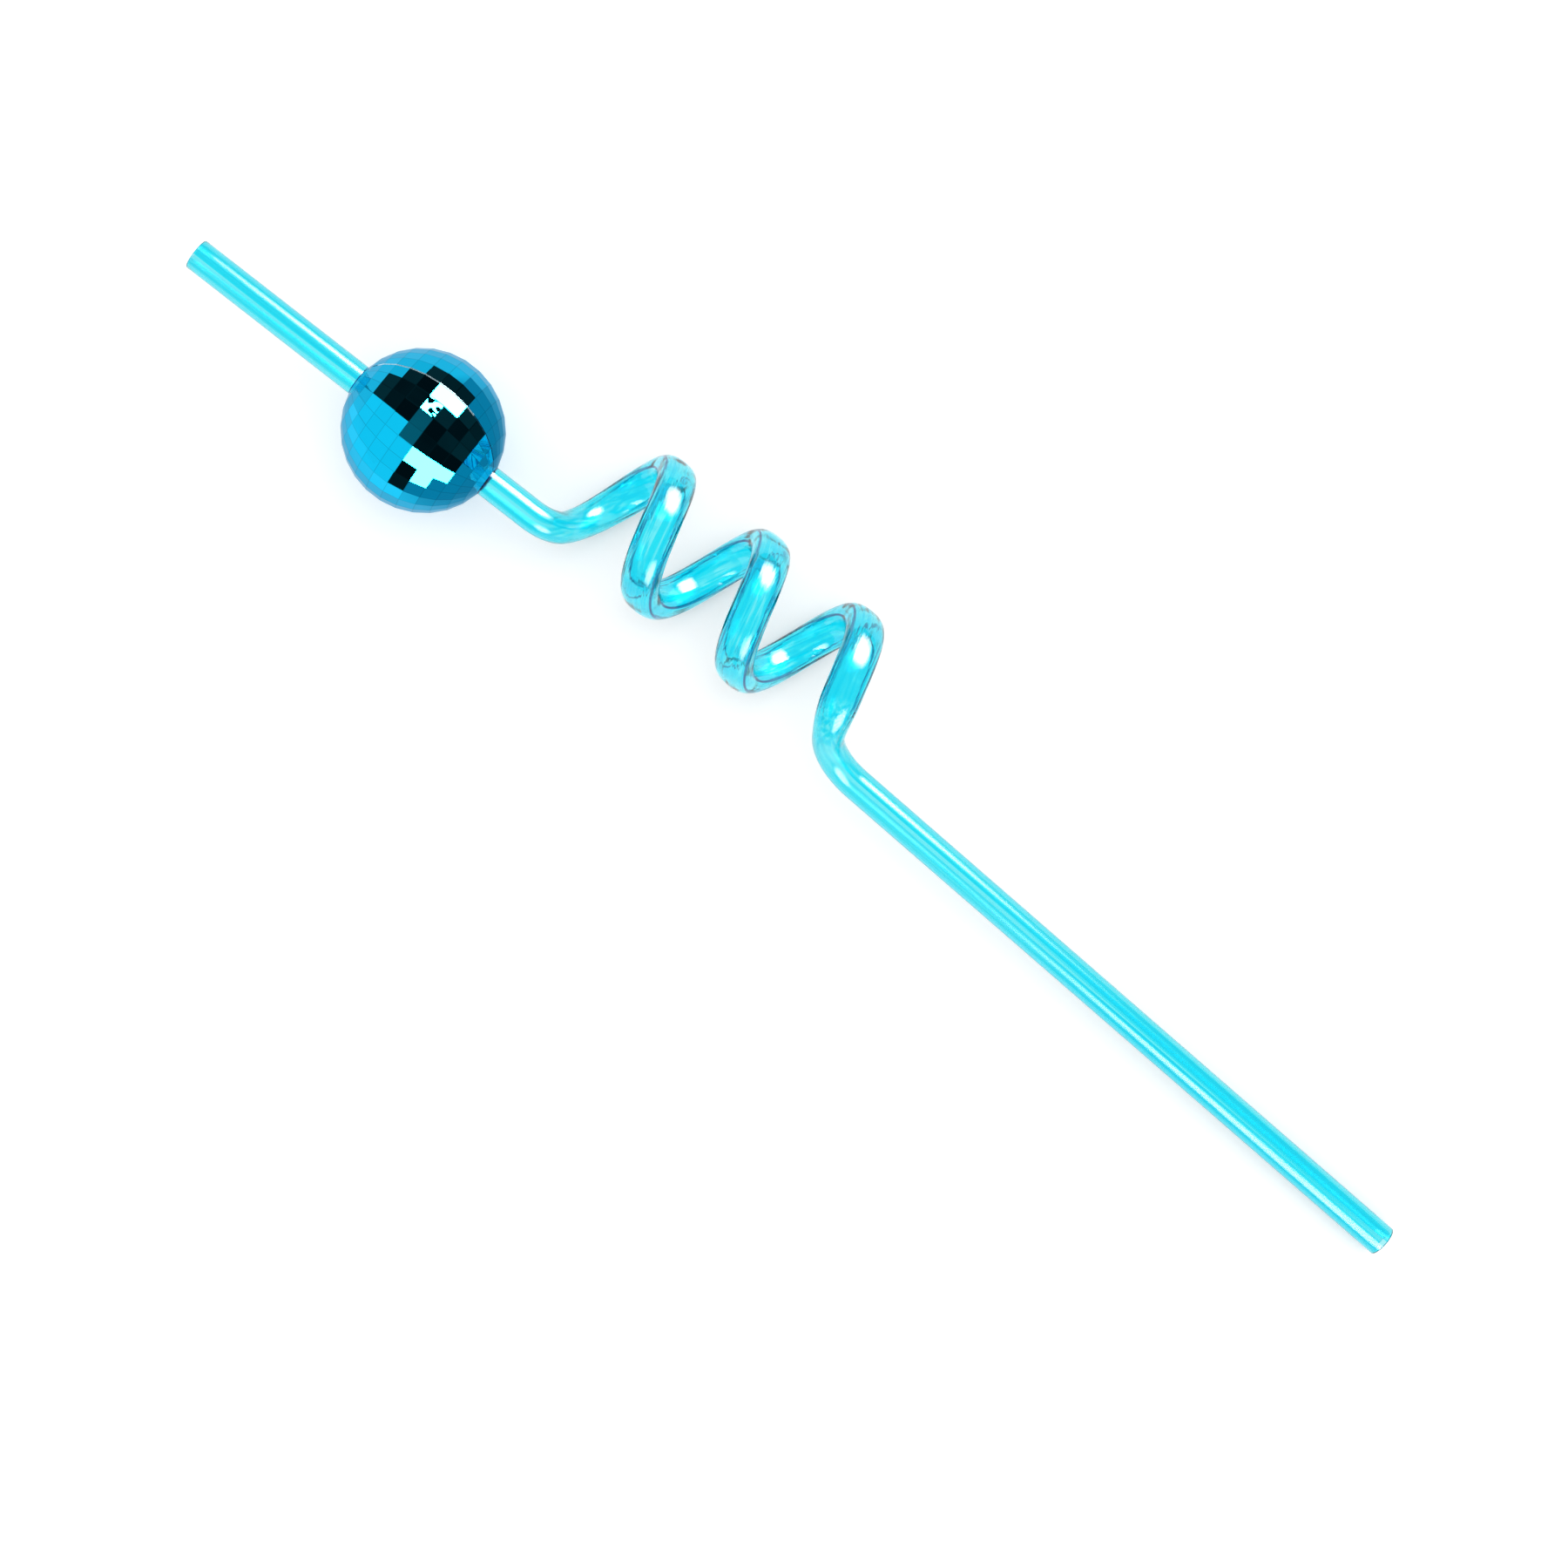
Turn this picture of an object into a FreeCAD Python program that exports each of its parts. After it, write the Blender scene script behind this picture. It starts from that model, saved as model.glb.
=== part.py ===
"""A drinking straw with a flattened coil and a faceted ball clamped round its upper leg.

Millimetres. The straw lies as it comes to rest, on its ball, one turn of the coil and its lower
end: +X runs along it from the upper end to the lower end, and +Z is up.
"""
import FreeCAD
import Part
import math
import os

Vector = FreeCAD.Vector

# Tube: round in the legs, pressed to a squarish oval in the coil
tube_diameter = 6.0
tube_wall = 0.7
coil_tube_width = 7.3
coil_tube_thickness = 5.6
coil_tube_squareness = 2.4

# Coil: a right-handed helix about X, with angles from +Y towards +Z
coil_radius = 10.7
coil_pitch = 21.75
coil_slant = 0.5
coil_start_deg = -154.5
coil_end_deg = 874.5
upper_blend_deg = 99.0
lower_blend_deg = 50.0

# Legs: each leaves the coil through one bend, and leans from the coil's axis
upper_leg_length = 76.2
upper_bend_radius = 6.4
upper_lean_deg = -0.6
upper_pitch_deg = -3.4
lower_leg_length = 130.0
lower_bend_radius = 10.7
lower_lean_deg = 2.5
lower_pitch_deg = -3.1

# Ball: two moulded half shells, with flat facets in rows across the tube's axis
ball_diameter = 30.0
ball_from_upper_end = 51.6
facet_rows = 15
facet_columns = 30
shell_wall = 1.2
seam_turn_deg = 33.8
seam_gap = 0.08
lip_height = 0.8
lip_thickness = 0.5
lip_gap = 0.08
collar_length = 3.0
collar_wall = 1.0
grip_gap = 0.05

# Fineness of the coil's skin, and how closely its faces and the legs are joined
station_step_deg = 20.0
ring_points = 20
stations_per_face = 6
skin_runout = 6.0
sewing_gap = 0.001
joining_gap = 0.01
settling_rounds = 12


def leg_direction(lean_deg, pitch_deg):
    """Direction of a leg: leaning from X towards -Y, pitched up towards +Z."""
    lean = math.radians(lean_deg)
    pitch = math.radians(pitch_deg)
    flat = math.cos(pitch)
    return Vector(flat * math.cos(lean), -flat * math.sin(lean), math.sin(pitch))


def smooth(share):
    """Ease from 0 to 1 as a share goes from 0 to 1."""
    held = min(max(share, 0.0), 1.0)
    return held * held * (3.0 - 2.0 * held)


class Station:
    """One place on the centreline: its point, direction, side that faces outwards and flatness."""

    def __init__(self, point, along, outward, flatness):
        self.point = point
        self.along = along
        square = outward - along * outward.dot(along)
        self.outward = square.normalize()
        self.flatness = flatness

    def ring(self, inset):
        """Closed ring of points round the tube here, drawn in by an inset."""
        radius = tube_diameter / 2.0
        half_width = radius + (coil_tube_width / 2.0 - radius) * self.flatness - inset
        half_depth = radius + (coil_tube_thickness / 2.0 - radius) * self.flatness - inset
        power = 2.0 + (coil_tube_squareness - 2.0) * self.flatness
        side = self.along.cross(self.outward)
        points = []
        for index in range(ring_points + 1):
            angle = 2.0 * math.pi * (index % ring_points) / ring_points
            inward = math.cos(angle)
            sideways = math.sin(angle)
            reach = (abs(inward) ** power + abs(sideways) ** power) ** (-1.0 / power)
            depth_part = self.outward * (-half_depth * inward * reach)
            width_part = side * (half_width * sideways * reach)
            points.append(self.point + depth_part + width_part)
        return points


def coil_station(angle_deg):
    """Station on the helix at an angle about the coil's axis."""
    angle = math.radians(angle_deg)
    advance = coil_pitch / (2.0 * math.pi)
    outward = Vector(0, math.cos(angle), math.sin(angle))
    around = Vector(0, -math.sin(angle), math.cos(angle))
    forward = advance * angle + coil_slant * math.cos(angle)
    point = Vector(forward, 0, 0) + outward * coil_radius
    gain = advance - coil_slant * math.sin(angle)
    along = (Vector(gain, 0, 0) + around * coil_radius).normalize()
    from_upper = smooth((angle_deg - coil_start_deg) / upper_blend_deg)
    from_lower = smooth((coil_end_deg - angle_deg) / lower_blend_deg)
    return Station(point, along, outward, from_upper * from_lower)


def bend_stations(start, leg, radius):
    """Stations of a round bend that leaves a station of the coil and ends in a leg's direction."""
    turn = start.along.getAngle(leg)
    across = (leg - start.along * start.along.dot(leg)).normalize()
    centre = start.point + across * radius
    count = max(2, round(math.degrees(turn) / station_step_deg))
    stations = []
    for index in range(1, count + 1):
        angle = turn * index / count
        spoke = across * -math.cos(angle) + start.along * math.sin(angle)
        along = start.along * math.cos(angle) + across * math.sin(angle)
        stations.append(Station(centre + spoke * radius, along, start.outward, 0.0))
    return stations


def runout_stations(end):
    """Two stations a little way along the leg that follows a bend's last station."""
    places = (skin_runout / 2.0, skin_runout)
    return [Station(end.point + end.along * place, end.along, end.outward, 0.0) for place in places]


def reversed_station(station):
    """The same place, passed in the other direction."""
    return Station(station.point, station.along * -1.0, station.outward, station.flatness)


def bent_stations():
    """Stations from the upper leg's start of bend, through the coil, to the lower leg."""
    count = round((coil_end_deg - coil_start_deg) / station_step_deg)
    step = (coil_end_deg - coil_start_deg) / count
    coil = [coil_station(coil_start_deg + step * index) for index in range(count + 1)]
    upper_leg = leg_direction(upper_lean_deg, upper_pitch_deg)
    lower_leg = leg_direction(lower_lean_deg, lower_pitch_deg)
    upper = bend_stations(reversed_station(coil[0]), upper_leg * -1.0, upper_bend_radius)
    upper += runout_stations(upper[-1])
    lower = bend_stations(coil[-1], lower_leg, lower_bend_radius)
    lower += runout_stations(lower[-1])
    return [reversed_station(station) for station in reversed(upper)] + coil + lower


def skin(stations, inset):
    """Smooth faces through the rings of the stations, each a few spans long and closed all round."""
    surface = Part.BSplineSurface()
    surface.interpolate([station.ring(inset) for station in stations])
    surface.setVPeriodic()
    knots = surface.getUKnots()
    cuts = knots[:-1:stations_per_face] + knots[-1:]
    low, high = surface.bounds()[2:]
    faces = []
    for start, end in zip(cuts, cuts[1:]):
        stretch = surface.copy()
        stretch.segment(start, end, low, high)
        faces.append(stretch.toShape())
    return faces


def nearest_rim(face, point):
    """The closed edge of a face whose middle is nearest to a point."""
    rims = [edge for edge in face.Edges if edge.isClosed()]
    return min(rims, key=lambda rim: (rim.CenterOfMass - point).Length)


def make_rod(stations, inset, overrun):
    """Solid rod along the straw, drawn in by an inset and longer at both ends by an overrun."""
    faces = skin(stations, inset)
    for face, station in ((faces[0], stations[0]), (faces[-1], stations[-1])):
        faces.append(Part.Face(Part.Wire([nearest_rim(face, station.point)])))
    sewn = Part.Compound(faces)
    sewn.sewShape(sewing_gap)
    bent = Part.Solid(sewn.Shells[0])
    if bent.Volume < 0:
        bent.reverse()
    legs = (
        (stations[0].point, stations[0].along * -1.0, upper_leg_length),
        (stations[-1].point, stations[-1].along, lower_leg_length),
    )
    radius = tube_diameter / 2.0 - inset
    straight = []
    for start, outward, length in legs:
        straight.append(Part.makeCylinder(radius, length - skin_runout + overrun, start, outward))
    return bent.fuse(straight, joining_gap).Solids[0]


def make_tube(stations):
    """The straw: legs, bends and coil in one piece, open from end to end."""
    bore = make_rod(stations, tube_wall, tube_wall)
    return make_rod(stations, 0.0, 0.0).cut(bore).Solids[0]


def facet_corner(row_edge, column):
    """Corner of the facets on the ball, about its own Z axis and from its own seam."""
    latitude = math.radians(180.0 * row_edge / facet_rows - 90.0)
    longitude = math.radians(360.0 * column / facet_columns)
    radius = ball_diameter / 2.0
    flat = radius * math.cos(latitude)
    return Vector(flat * math.cos(longitude), flat * math.sin(longitude), radius * math.sin(latitude))


def polygon_face(corners):
    """Flat face with the given corners."""
    return Part.Face(Part.makePolygon(corners + corners[:1]))


def faceted_body():
    """The ball's outside as one closed body, cut flat at the rows next to its poles."""
    faces = []
    for row in range(1, facet_rows - 1):
        for column in range(facet_columns):
            places = ((row, column), (row, column + 1), (row + 1, column + 1), (row + 1, column))
            faces.append(polygon_face([facet_corner(*place) for place in places]))
    for row_edge in (1, facet_rows - 1):
        faces.append(polygon_face([facet_corner(row_edge, column) for column in range(facet_columns)]))
    body = Part.Solid(Part.makeShell(faces))
    if body.Volume < 0:
        body.reverse()
    return body


def half_space(side, offset):
    """Block that fills one side of the seam's plane, from an offset outwards."""
    reach = ball_diameter
    low = offset if side > 0 else -offset - reach
    return Part.makeBox(2.0 * reach, reach, 2.0 * reach, Vector(-reach, low, -reach))


def lip_band(cavity_radius, inner_gap, outer_gap, height):
    """Band just outside the cavity that stands past the seam's plane, clear of the collars."""
    outer = Part.makeSphere(cavity_radius + lip_thickness + outer_gap)
    inner = Part.makeSphere(cavity_radius - inner_gap)
    reach = cavity_radius - collar_length - lip_thickness
    slab = Part.makeBox(2.0 * ball_diameter, height, 2.0 * reach, Vector(-ball_diameter, -height, -reach))
    return outer.cut(inner).common(slab)


def make_ball_halves():
    """The two half shells, about their own Z axis, with the seam in the plane of X and Z."""
    facet_drop = math.cos(math.pi / facet_columns) * math.cos(math.pi / (2.0 * facet_rows))
    cavity_radius = ball_diameter / 2.0 * facet_drop - shell_wall
    hole_radius = tube_diameter / 2.0 + grip_gap
    collar_radius = hole_radius + collar_wall
    cavity = Part.makeSphere(cavity_radius)
    shell = faceted_body().cut(cavity)
    seat = math.sqrt(cavity_radius ** 2 - collar_radius ** 2)
    for side in (-1.0, 1.0):
        foot = Vector(0, 0, side * (cavity_radius - collar_length))
        depth = seat + shell_wall / 2.0 - (cavity_radius - collar_length)
        shell = shell.fuse(Part.makeCylinder(collar_radius, depth, foot, Vector(0, 0, side)))
    reach = ball_diameter
    shell = shell.cut(Part.makeCylinder(hole_radius, 2.0 * reach, Vector(0, 0, -reach)))
    lip = lip_band(cavity_radius, 0.0, 0.0, lip_height)
    groove = lip_band(cavity_radius, lip_gap, lip_gap, lip_height + lip_gap)
    near = shell.common(half_space(1.0, 0.0)).fuse(lip)
    far = shell.common(half_space(-1.0, seam_gap)).cut(groove)
    return {"ball_half_lipped": near, "ball_half_grooved": far}


def ball_placement(stations):
    """Where the ball sits on the upper leg, with its Z axis along the leg."""
    first = stations[0]
    to_bend = upper_leg_length - skin_runout - ball_from_upper_end
    centre = first.point - first.along * to_bend
    axis_turn = FreeCAD.Rotation(Vector(0, 0, 1), first.along)
    turned_up = axis_turn.inverted().multVec(Vector(0, 0, 1))
    seam_start = math.degrees(math.atan2(turned_up.y, turned_up.x))
    seam_turn = FreeCAD.Rotation(Vector(0, 0, 1), seam_start - seam_turn_deg)
    return FreeCAD.Placement(centre, axis_turn.multiply(seam_turn))


def resting_turn(stations, ball_centre):
    """Turn that lays the ball, the coil and the lower end on one level plane."""
    last = stations[-1]
    foot_point = last.point + last.along * (lower_leg_length - skin_runout)
    foot = Station(foot_point, last.along, last.outward, 0.0).ring(0.0)
    coil = [point for station in stations for point in station.ring(0.0)]
    turn = FreeCAD.Rotation()
    for _ in range(settling_rounds):
        up = turn.inverted().multVec(Vector(0, 0, 1))
        low_ball = ball_centre - up * (ball_diameter / 2.0)
        low_coil = min(coil, key=up.dot)
        low_foot = min(foot, key=up.dot)
        level = (low_coil - low_ball).cross(low_foot - low_ball)
        if level.dot(up) < 0:
            level = level * -1.0
        turn = FreeCAD.Rotation(level, Vector(0, 0, 1))
    return turn


def main():
    """Build every piece, lay the straw down and write one file for each."""
    stations = bent_stations()
    on_leg = ball_placement(stations)
    pieces = {"straw_tube": make_tube(stations)}
    for name, half in make_ball_halves().items():
        half.Placement = on_leg.multiply(half.Placement)
        pieces[name] = half
    turn = resting_turn(stations, on_leg.Base)
    for piece in pieces.values():
        piece.Placement = FreeCAD.Placement(Vector(), turn).multiply(piece.Placement)
    box = Part.Compound(list(pieces.values())).optimalBoundingBox(False, False)
    shift = Vector(-box.Center.x, -box.Center.y, -box.ZMin)
    os.makedirs("parts", exist_ok=True)
    for name, piece in pieces.items():
        piece.translate(shift)
        piece.exportStep("parts/" + name + ".step")


main()
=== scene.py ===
"""Drinking straw with a flattened coil and a faceted mirror ball, lying on a white sweep."""

import math
import random

import bmesh
import bpy
from bpy.props import FloatProperty, FloatVectorProperty, IntProperty, PointerProperty
from mathutils import Matrix, Quaternion, Vector


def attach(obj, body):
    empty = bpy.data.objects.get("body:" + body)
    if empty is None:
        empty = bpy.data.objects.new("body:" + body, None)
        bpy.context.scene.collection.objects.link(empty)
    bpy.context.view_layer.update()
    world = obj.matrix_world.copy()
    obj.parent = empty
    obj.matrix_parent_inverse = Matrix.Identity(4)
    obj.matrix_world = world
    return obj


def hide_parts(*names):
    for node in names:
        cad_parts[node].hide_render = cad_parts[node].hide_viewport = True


bl_info = {
    "name": "Coiled Drinking Straw",
    "version": (1, 0, 0),
    "blender": (4, 5, 0),
    "location": "3D View > Sidebar > Straw",
    "description": "Models a clear coiled drinking straw with a mirror ball, and its stage",
    "category": "Add Mesh",
}

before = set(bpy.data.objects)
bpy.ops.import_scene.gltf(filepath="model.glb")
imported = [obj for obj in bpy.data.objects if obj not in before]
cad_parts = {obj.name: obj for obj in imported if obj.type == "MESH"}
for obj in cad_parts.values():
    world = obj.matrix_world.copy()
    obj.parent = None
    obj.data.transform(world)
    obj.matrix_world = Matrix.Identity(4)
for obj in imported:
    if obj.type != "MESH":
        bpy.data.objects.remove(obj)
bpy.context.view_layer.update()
MM = 0.001
WHITE = (1.0, 1.0, 1.0, 1.0)

# How the coil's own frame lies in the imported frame: a small levelling turn, then a shift
REST_TURN = Quaternion((0.99998873078, -0.00154747516, 0.00448816685, 0.0))
REST_SHIFT = Vector((-50.0137252673, 6.5508827680, 13.8602893482)) * MM

# The ball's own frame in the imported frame: Z along the leg, X in the plane of the seam
BALL_TURN = Quaternion((0.1960380713, 0.6978643172, 0.2171022610, 0.6537744853))
BALL_CENTRE = Vector((-90.02698833, -5.15386059, 15.02769251)) * MM

# Turn between two rings of the coil or a bend, and length between two rings of a leg
RING_TURN = math.radians(4.0)
RING_STEP = 4.0 * MM

# Edges of the straw sharper than the first angle are rims, and sharper than the second hard
RIM_ANGLE = math.radians(60.0)
HARD_ANGLE = math.radians(40.0)

# Where the flattened tube is creased, on the unrolled round tube, and half the width of the
# painted shade line along a crease
CREASE_ASIDE = 2.62 * MM
CREASE_SHADE_WIDTH = 0.10 * MM

# Half the width of the painted shadow line across the straw where it enters and leaves the
# ball
HOLE_SHADE_WIDTH = 0.14 * MM

# How far the painted dark outline round each open end reaches along the straw
RIM_LINE = 0.10 * MM

# Colour of the painted shade lines on the creases and across the straw at the ball's holes,
# colour of the painted dark outline round the rims, share of the tint in a streak, the noise
# that makes streaks and patches, and how strongly creases and rims take their painted shade
PAINTED_DARK = (0.01, 0.05, 0.22)
RIM_SHADE_COLOUR = (0.16, 0.62, 0.80)
DEEP_STREAK = (0.08, 0.89, 0.97)
STREAK_RANGE = (0.45, 0.58)
PATCH_RANGE = (0.46, 0.60, 0.0, 0.7)
PAINTED_DARK_SHARE = 0.9

# Drawing lines and waves: how fine they are, how quickly a line changes along a leg and how
# much more so along the coil, their heights on the coil, and the depth of a height of 1
LINE_SCALE = 1100.0
WAVE_SCALE = 220.0
LEG_STRETCH = 0.008
COIL_STRETCH = 0.027
LINE_HEIGHT = 2.2
WAVE_HEIGHT = 5.0
SKIN_DEPTH = 0.04 * MM

# Roughness of a leg, and how much smoother the coil is
LEG_ROUGHNESS = 0.13
COIL_SMOOTHER = 0.07

# The coating: its faint ripple, the tint of its deepest tiles, how strong its edges and its
# seam are, and how rough the seam is
RIPPLE_SCALE = 260.0
RIPPLE_STRENGTH = 0.05
RIPPLE_DEPTH = 0.2 * MM
DEEP_TILE = 0.92
EDGE_SHARE = 0.28
SEAM_SHARE = 0.85
SEAM_ROUGHNESS = 0.25

# The coating: tint of glancing light, painted shade on the facet edges, the seam's painted
# highlight where it is lit and painted shade where it is in shadow, and the seam's lit stretch
# along the leg
GLANCING_TINT = (0.78, 0.87, 0.93, 1.0)
FACET_EDGE = (0.004, 0.10, 0.18)
SEAM_LIT = (0.75, 0.92, 0.96)
SEAM_SHADOWED = (0.004, 0.03, 0.08)
SEAM_LIT_FROM = -13.0 * MM
SEAM_LIT_TO = 6.5 * MM

# The half shells: gap that joins loose triangles, bend within one facet, how near a corner is
# to the ball's skin, and the depth and area that only a rounded strip stays under
JOIN_GAP = 0.002 * MM
FACET_BEND = math.radians(0.3)
SKIN_GAP = 0.02 * MM
STRIP_DEPTH = 0.4 * MM
STRIP_AREA = MM * MM
TONE_SEED = 30

# The sweep: its side, its place just under the straw, and its glow in the picture
SWEEP_SIDE = 3.0
SWEEP_HEIGHT = -0.2 * MM
SWEEP_GLOW = 0.24

# The sweep in the ball's facets, with painted shade: its painted shade colour, the painted
# shadow round the ball's foot (most, near and far), and painted shades to one side (parts of
# the picture's right and up, most, near and far)
SWEEP_SHADE = (0.10, 0.29, 0.37, 1.0)
FOOT_SHADE = (0.38, 30.0 * MM, 80.0 * MM)
SIDE_SHADES = (
    (0.90, -0.44, 0.90, -8.0 * MM, 32.0 * MM),
    (0.00, 1.00, 0.35, 18.0 * MM, 60.0 * MM),
)

# The room as glossy plastic shows it, and the studio in the ball's facets: its dark, its
# clutter, its lit left wall, its ceiling, and how fine and how dense the clutter is
GLOSSY_ROOM = (0.30, 0.30, 0.30)
STUDIO_DARK = (0.02, 0.008, 0.008)
STUDIO_CLUTTER = (0.25, 0.045, 0.040)
STUDIO_WALL = (1.1, 1.1, 1.1)
STUDIO_CEILING = (0.3, 0.19, 0.19)
CLUTTER_SCALE = 4.0
CLUTTER_RANGE = (0.40, 0.65)

# Lit patches of the studio: direction in the picture's right, up and back, inner and outer
# half angle in degrees, and then the slats of the blinds and how bright the lamps are
CEILING_PATCH = ((-0.07, -0.04, 1.0), 12.0, 17.0)
SOFTBOX_PATCH = ((0.60, 0.59, 0.54), 11.0, 25.0)
BLINDS_PATCH = ((0.30, 0.46, 0.84), 2.0, 3.0)
SLATS = 370.0
SLAT_GAP = 0.45
SOFTBOX_LIGHT = 260.0
LOW_LIGHT = 115.0

# Edges of the lit left wall, of its dark low corner and of the lit panel below, with the parts
# of the picture's right and up that give the wall's, the panel's and the slats' slant
WALL_SLANT = (0.83, 0.56)
LOW_SLANT = (0.75, 1.0)
SLAT_SLANT = (0.6, 0.8)
WALL_EDGE = -0.3
CORNER_TOP = -0.78
CORNER_SIDE = -0.2
LOW_EDGE = -0.5
LOW_TOP = -0.6
LOW_SIDE = -0.2

# The key lamp: place, sides and power
KEY_PLACE = (0.05, 0.20, 0.50)
KEY_SIDES = (0.40, 0.40)
KEY_POWER = 0.5

# The lit panels: name, direction, distance, half width, soft share of it, and strength, and
# the share of the light that is taken off where the plastic is looked through
PANELS = (
    ("panel_high", (0.60, 0.59, 0.54), 0.50, 0.25, 0.75, 34.0),
    ("panel_low", (0.12, -0.87, 0.45), 0.65, 0.28, 0.6, 14.0),
)
PANEL_THROUGH = 0.65

# The picture: its pixels, a pixel's width at the straw, the point whose pixel is known, that
# pixel, its distance in pixels, and the film's width
PICTURE_PIXELS = 1800.0
PIXEL = 0.159 * MM
KNOWN_POINT = Vector((21.75 * MM, 0.0, 0.0))
KNOWN_PIXEL = (837.155, 679.454)
FAR_PIXELS = 1000.0 / 0.295
FILM_WIDTH = 36.0

# The picture's right, up and backward directions, before the coil's frame is laid down
CAMERA_TURN = math.radians(38.445)
CAMERA_TIP = math.radians(-0.532)
PICTURE_AXES = (
    Vector((math.cos(CAMERA_TURN) * math.cos(CAMERA_TIP), math.sin(CAMERA_TURN),
            -math.cos(CAMERA_TURN) * math.sin(CAMERA_TIP))),
    Vector((-math.sin(CAMERA_TURN) * math.cos(CAMERA_TIP), math.cos(CAMERA_TURN),
            math.sin(CAMERA_TURN) * math.sin(CAMERA_TIP))),
    Vector((math.sin(CAMERA_TIP), 0.0, math.cos(CAMERA_TIP))),
)


class StrawSizes(bpy.types.PropertyGroup):
    """Sizes of the tube, its coil, its bends and its legs."""

    tube_diameter: FloatProperty(
        name="Tube Diameter", description="Outside of the round legs",
        default=6.0 * MM, unit="LENGTH")
    tube_wall: FloatProperty(
        name="Tube Wall", description="Thickness of the tube's wall",
        default=0.7 * MM, unit="LENGTH")
    coil_width: FloatProperty(
        name="Coil Tube Width", description="Widest measure of the flattened section",
        default=7.3 * MM, unit="LENGTH")
    coil_thickness: FloatProperty(
        name="Coil Tube Thickness", description="Flattened measure of the section",
        default=5.6 * MM, unit="LENGTH")
    coil_squareness: FloatProperty(
        name="Section Squareness", description="2 is an oval, more is squarer", default=2.4)
    coil_radius: FloatProperty(
        name="Coil Radius", description="Radius of the coil's centreline",
        default=10.7 * MM, unit="LENGTH")
    coil_pitch: FloatProperty(
        name="Coil Pitch", description="Advance of the coil in one turn",
        default=21.75 * MM, unit="LENGTH")
    coil_slant: FloatProperty(
        name="Coil Slant", description="Lean of each turn along the coil",
        default=0.5 * MM, unit="LENGTH")
    coil_start: FloatProperty(
        name="Coil Start", description="Angle at which the coil starts",
        default=math.radians(-154.5), subtype="ANGLE")
    coil_end: FloatProperty(
        name="Coil End", description="Angle at which the coil ends",
        default=math.radians(874.5), subtype="ANGLE")
    upper_blend: FloatProperty(
        name="Upper Blend", description="Turn over which the tube flattens",
        default=math.radians(99.0), subtype="ANGLE")
    lower_blend: FloatProperty(
        name="Lower Blend", description="Turn over which the tube rounds again",
        default=math.radians(50.0), subtype="ANGLE")
    upper_leg: FloatProperty(
        name="Upper Leg", description="Straight length above the coil",
        default=76.2 * MM, unit="LENGTH")
    upper_bend: FloatProperty(
        name="Upper Bend", description="Radius of the bend above the coil",
        default=6.4 * MM, unit="LENGTH")
    upper_lean: FloatProperty(
        name="Upper Lean", description="Lean of the upper leg in plan",
        default=math.radians(-0.6), subtype="ANGLE")
    upper_pitch: FloatProperty(
        name="Upper Pitch", description="Slope of the upper leg",
        default=math.radians(-3.4), subtype="ANGLE")
    lower_leg: FloatProperty(
        name="Lower Leg", description="Straight length below the coil",
        default=130.0 * MM, unit="LENGTH")
    lower_bend: FloatProperty(
        name="Lower Bend", description="Radius of the bend below the coil",
        default=10.7 * MM, unit="LENGTH")
    lower_lean: FloatProperty(
        name="Lower Lean", description="Lean of the lower leg in plan",
        default=math.radians(2.5), subtype="ANGLE")
    lower_pitch: FloatProperty(
        name="Lower Pitch", description="Slope of the lower leg",
        default=math.radians(-3.1), subtype="ANGLE")
    rim_round: FloatProperty(
        name="Rim Rounding", description="Rounding of the edges at the open ends",
        default=0.12 * MM, unit="LENGTH")
    ring_sides: IntProperty(
        name="Ring Sides", description="Vertices round the tube", default=64, min=16)


class BallSizes(bpy.types.PropertyGroup):
    """Sizes of the faceted ball and its two half shells."""

    diameter: FloatProperty(
        name="Ball Diameter", description="Across the facets' corners",
        default=30.0 * MM, unit="LENGTH")
    from_upper_end: FloatProperty(
        name="From Upper End", description="From the straw's upper end to the ball's centre",
        default=51.6 * MM, unit="LENGTH")
    rows: IntProperty(name="Facet Rows", description="Rows from pole to pole", default=15)
    columns: IntProperty(name="Facet Columns", description="Facets in a full row", default=30)
    seam_gap: FloatProperty(
        name="Seam Gap", description="Gap between the half shells",
        default=0.08 * MM, unit="LENGTH")
    edge_round: FloatProperty(
        name="Facet Edge", description="Width of the rounding between two facets",
        default=0.08 * MM, unit="LENGTH")


class StrawColours(bpy.types.PropertyGroup):
    """Colours of the straw's plastic and the ball's coating."""

    plastic: FloatVectorProperty(
        name="Plastic Tint", description="Tint of one pass through the tube's surface",
        default=(0.93, 0.985, 1.0), size=3, subtype="COLOR", min=0.0, max=1.0)
    dye: FloatVectorProperty(
        name="Dye", description="Colour that the wall's thickness lets through",
        default=(0.30, 0.960, 0.988), size=3, subtype="COLOR", min=0.0, max=1.0)
    dye_density: FloatProperty(
        name="Dye Density", description="How strongly the wall's thickness colours the light",
        default=1700.0)
    mirror: FloatVectorProperty(
        name="Mirror Tint", description="Colour of the mirror coating",
        default=(0.004, 0.52, 0.84), size=3, subtype="COLOR", min=0.0, max=1.0)
    floor: FloatVectorProperty(
        name="Floor", description="Colour of the sweep that the straw lies on",
        default=(0.90, 0.90, 0.90), size=3, subtype="COLOR", min=0.0, max=1.0)


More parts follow.
